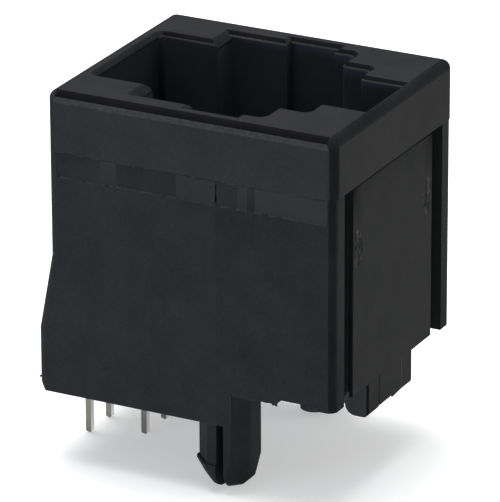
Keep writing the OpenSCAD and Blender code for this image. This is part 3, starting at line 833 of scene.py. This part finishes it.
def housing():
    """The black moulding, with its small rounds, its finishes, the marks of its tool, and its painted
    highlights and shade.
    """
    bm = copy_of("housing")
    soften(bm, [e for e in bm.edges if on_panel_side(e)], PANEL_EDGE_R, segments=1)
    soften(bm, [e for e in bm.edges if on_pad(e)], PAD_EDGE_R, segments=3)
    # the faces that get a painted highlight: the lower edges of the mouth's chamfers, then the rim's round
    highlit = bm.faces.layers.int.new("highlit")
    lead_in = soften(bm, [e for e in bm.edges if on_mouth(e)], MOUTH_EDGE_R, segments=3)
    bm.normal_update()
    for f in lead_in:
        f[highlit] = int(middle(f).z < TOP_Z - MOUTH_CHAMFER / 2 and abs(f.normal.y) > TILTED)
    sharp = [e for e in bm.edges if corner_angle(e) > SHARP_ANGLE and not under_rim(e)]
    soften(bm, sharp, SHARP_EDGE_R)
    bm.normal_update()
    tone = bm.faces.layers.float.new(TONE)
    for f in bm.faces:
        # painted highlight on these faces, the others by their finish and tone
        painted_lit = f[highlit] == 1 or on_highlit_round(f)
        f.material_index = TEXTURED_FACE if painted_lit else finish_of(f)
        f[tone] = HIGHLIGHT_TONE if painted_lit else tone_of(f)
    rng = random.Random(MARKS_SEED)
    for side in (-1, 1):
        tool_band(bm, side, tone, rng)
        highlit_rim(bm, side, tone, rng)
        mould_line(bm, side, tone)
    crease(bm)
    foot_lines(bm, tone)
    for y, z in SCARS:
        gate_scar(bm, y, z, tone, rng)
    place(bm, "jack_housing", "housing", [TEXTURED, SMOOTH_SHADED, SATIN_LIT])


def carrier():
    """The black moulding that carries the contacts, with its longer edges rounded."""
    bm = copy_of("contact_carrier")
    long_enough = COMB_EDGE_MIN * MM
    sharp = [e for e in bm.edges if corner_angle(e) > SHARP_ANGLE and e.calc_length() > long_enough]
    soften(bm, sharp, COMB_EDGE_R)
    place(bm, "contact_comb", "contact_carrier", [SATIN_LIT])


def contact(i):
    """One tin-plated wire, with the faces marked that point along the row, which get painted shade."""
    bm = copy_of(f"contact_{i}")
    shaded_slit_edge = bm.faces.layers.float.new(SLIT_EDGE_SHADE)
    for f in bm.faces:
        f[shaded_slit_edge] = float(abs(f.normal.y) > HALFWAY)
    place(bm, f"wire_contact_{i}", f"contact_{i}", [TIN])


def film(bm, start, end, reach, rng):
    """A thin film of flash along a line, torn off unevenly at its free edge."""
    start, end, reach = Vector(start) * MM, Vector(end) * MM, Vector(reach) * MM
    steps = max(2, round((end - start).length / (FLASH_STEP * MM)))
    half = 0.5
    grid = bmesh.ops.create_grid(bm, x_segments=steps, y_segments=1, size=half)["verts"]
    for v in grid:
        torn = rng.uniform(*FLASH_LEFT) * (v.co.y + half)
        v.co = start.lerp(end, v.co.x + half) + torn * reach
    bm.normal_update()
    bmesh.ops.solidify(bm, geom=once(f for v in grid for f in v.link_faces), thickness=FLASH_T * MM)


def flash():
    """All the films of plastic along the parting edges, as one piece."""
    bm = bmesh.new()
    rng = random.Random(FLASH_SEED)
    for start, end, reach in FLASH:
        film(bm, start, end, reach, rng)
    bmesh.ops.recalc_face_normals(bm, faces=bm.faces)
    place(bm, "moulding_flash", None, [TEXTURED])


def floor():
    """The sweep that the posts' ends stand on."""
    bm = bmesh.new()
    bmesh.ops.create_grid(bm, x_segments=1, y_segments=1, size=FLOOR_HALF)
    bmesh.ops.translate(bm, verts=bm.verts, vec=(0, 0, cad_box[0][Z]))
    mesh = bpy.data.meshes.new("floor")
    bm.to_mesh(mesh)
    bm.free()
    mesh.materials.append(studio_floor())
    sweep = bpy.data.objects.new("floor", mesh)
    bpy.context.scene.collection.objects.link(sweep)


def softbox(name, towards, distance, size, watts, colour, shines):
    """An area lamp that faces the jack's middle from a direction, and may be left out of reflections."""
    lamp = bpy.data.lights.new(name, "AREA")
    lamp.shape = "RECTANGLE"
    lamp.size, lamp.size_y = size
    lamp.energy = watts
    lamp.color = linear(colour)[:3]
    o = bpy.data.objects.new(name, lamp)
    direction = Vector(towards).normalized()
    o.location = Vector((0, 0, LAMP_AIM_Z * MM)) + direction * distance
    o.rotation_euler = direction.to_track_quat("Z", "Y").to_euler()
    o.visible_camera = False
    o.visible_glossy = shines
    bpy.context.scene.collection.objects.link(o)


def world():
    """The pale room around the floor."""
    w = bpy.data.worlds.new("studio")
    w.use_nodes = True
    back = w.node_tree.nodes["Background"]
    back.inputs["Color"].default_value = linear(WORLD_COLOUR)
    back.inputs["Strength"].default_value = WORLD_STRENGTH
    bpy.context.scene.world = w


def camera():
    """Stands where the photograph was taken from."""
    around, above = math.radians(CAMERA_AROUND), math.radians(CAMERA_ABOVE)
    roll = math.radians(CAMERA_ROLL)
    back = Vector((
        math.sin(around) * math.cos(above),
        -math.cos(around) * math.cos(above),
        math.sin(above),
    ))
    right = Vector((math.cos(around), math.sin(around), 0))
    up = back.cross(right)
    level = math.cos(roll) * right + math.sin(roll) * up
    rise = math.cos(roll) * up - math.sin(roll) * right
    eye = Vector(CAMERA_AIM) + CAMERA_FAR * back + CAMERA_RIGHT * level + CAMERA_UP * rise
    data = bpy.data.cameras.new("photograph")
    data.sensor_width = SENSOR_W
    data.lens = SENSOR_W * FOCAL_PX / PHOTO_H_PX
    data.clip_start = 0.01
    data.clip_end = 20
    o = bpy.data.objects.new("photograph", data)
    turn = Matrix((level, rise, back)).transposed().to_4x4()
    o.matrix_world = Matrix.Translation(eye * MM) @ turn
    bpy.context.scene.collection.objects.link(o)
    bpy.context.scene.camera = o


TEXTURED = spark_textured_pbt()
SMOOTH_SHADED = smooth_shaded_pbt()
SATIN_LIT = satin_lit_pbt()
TIN = tin_plate()

camera()
floor()
world()
for lamp in SOFTBOXES:
    softbox(*lamp)

housing()
carrier()
for i in range(1, CONTACTS + 1):
    contact(i)
flash()

bpy.context.scene.view_settings.view_transform = "Standard"
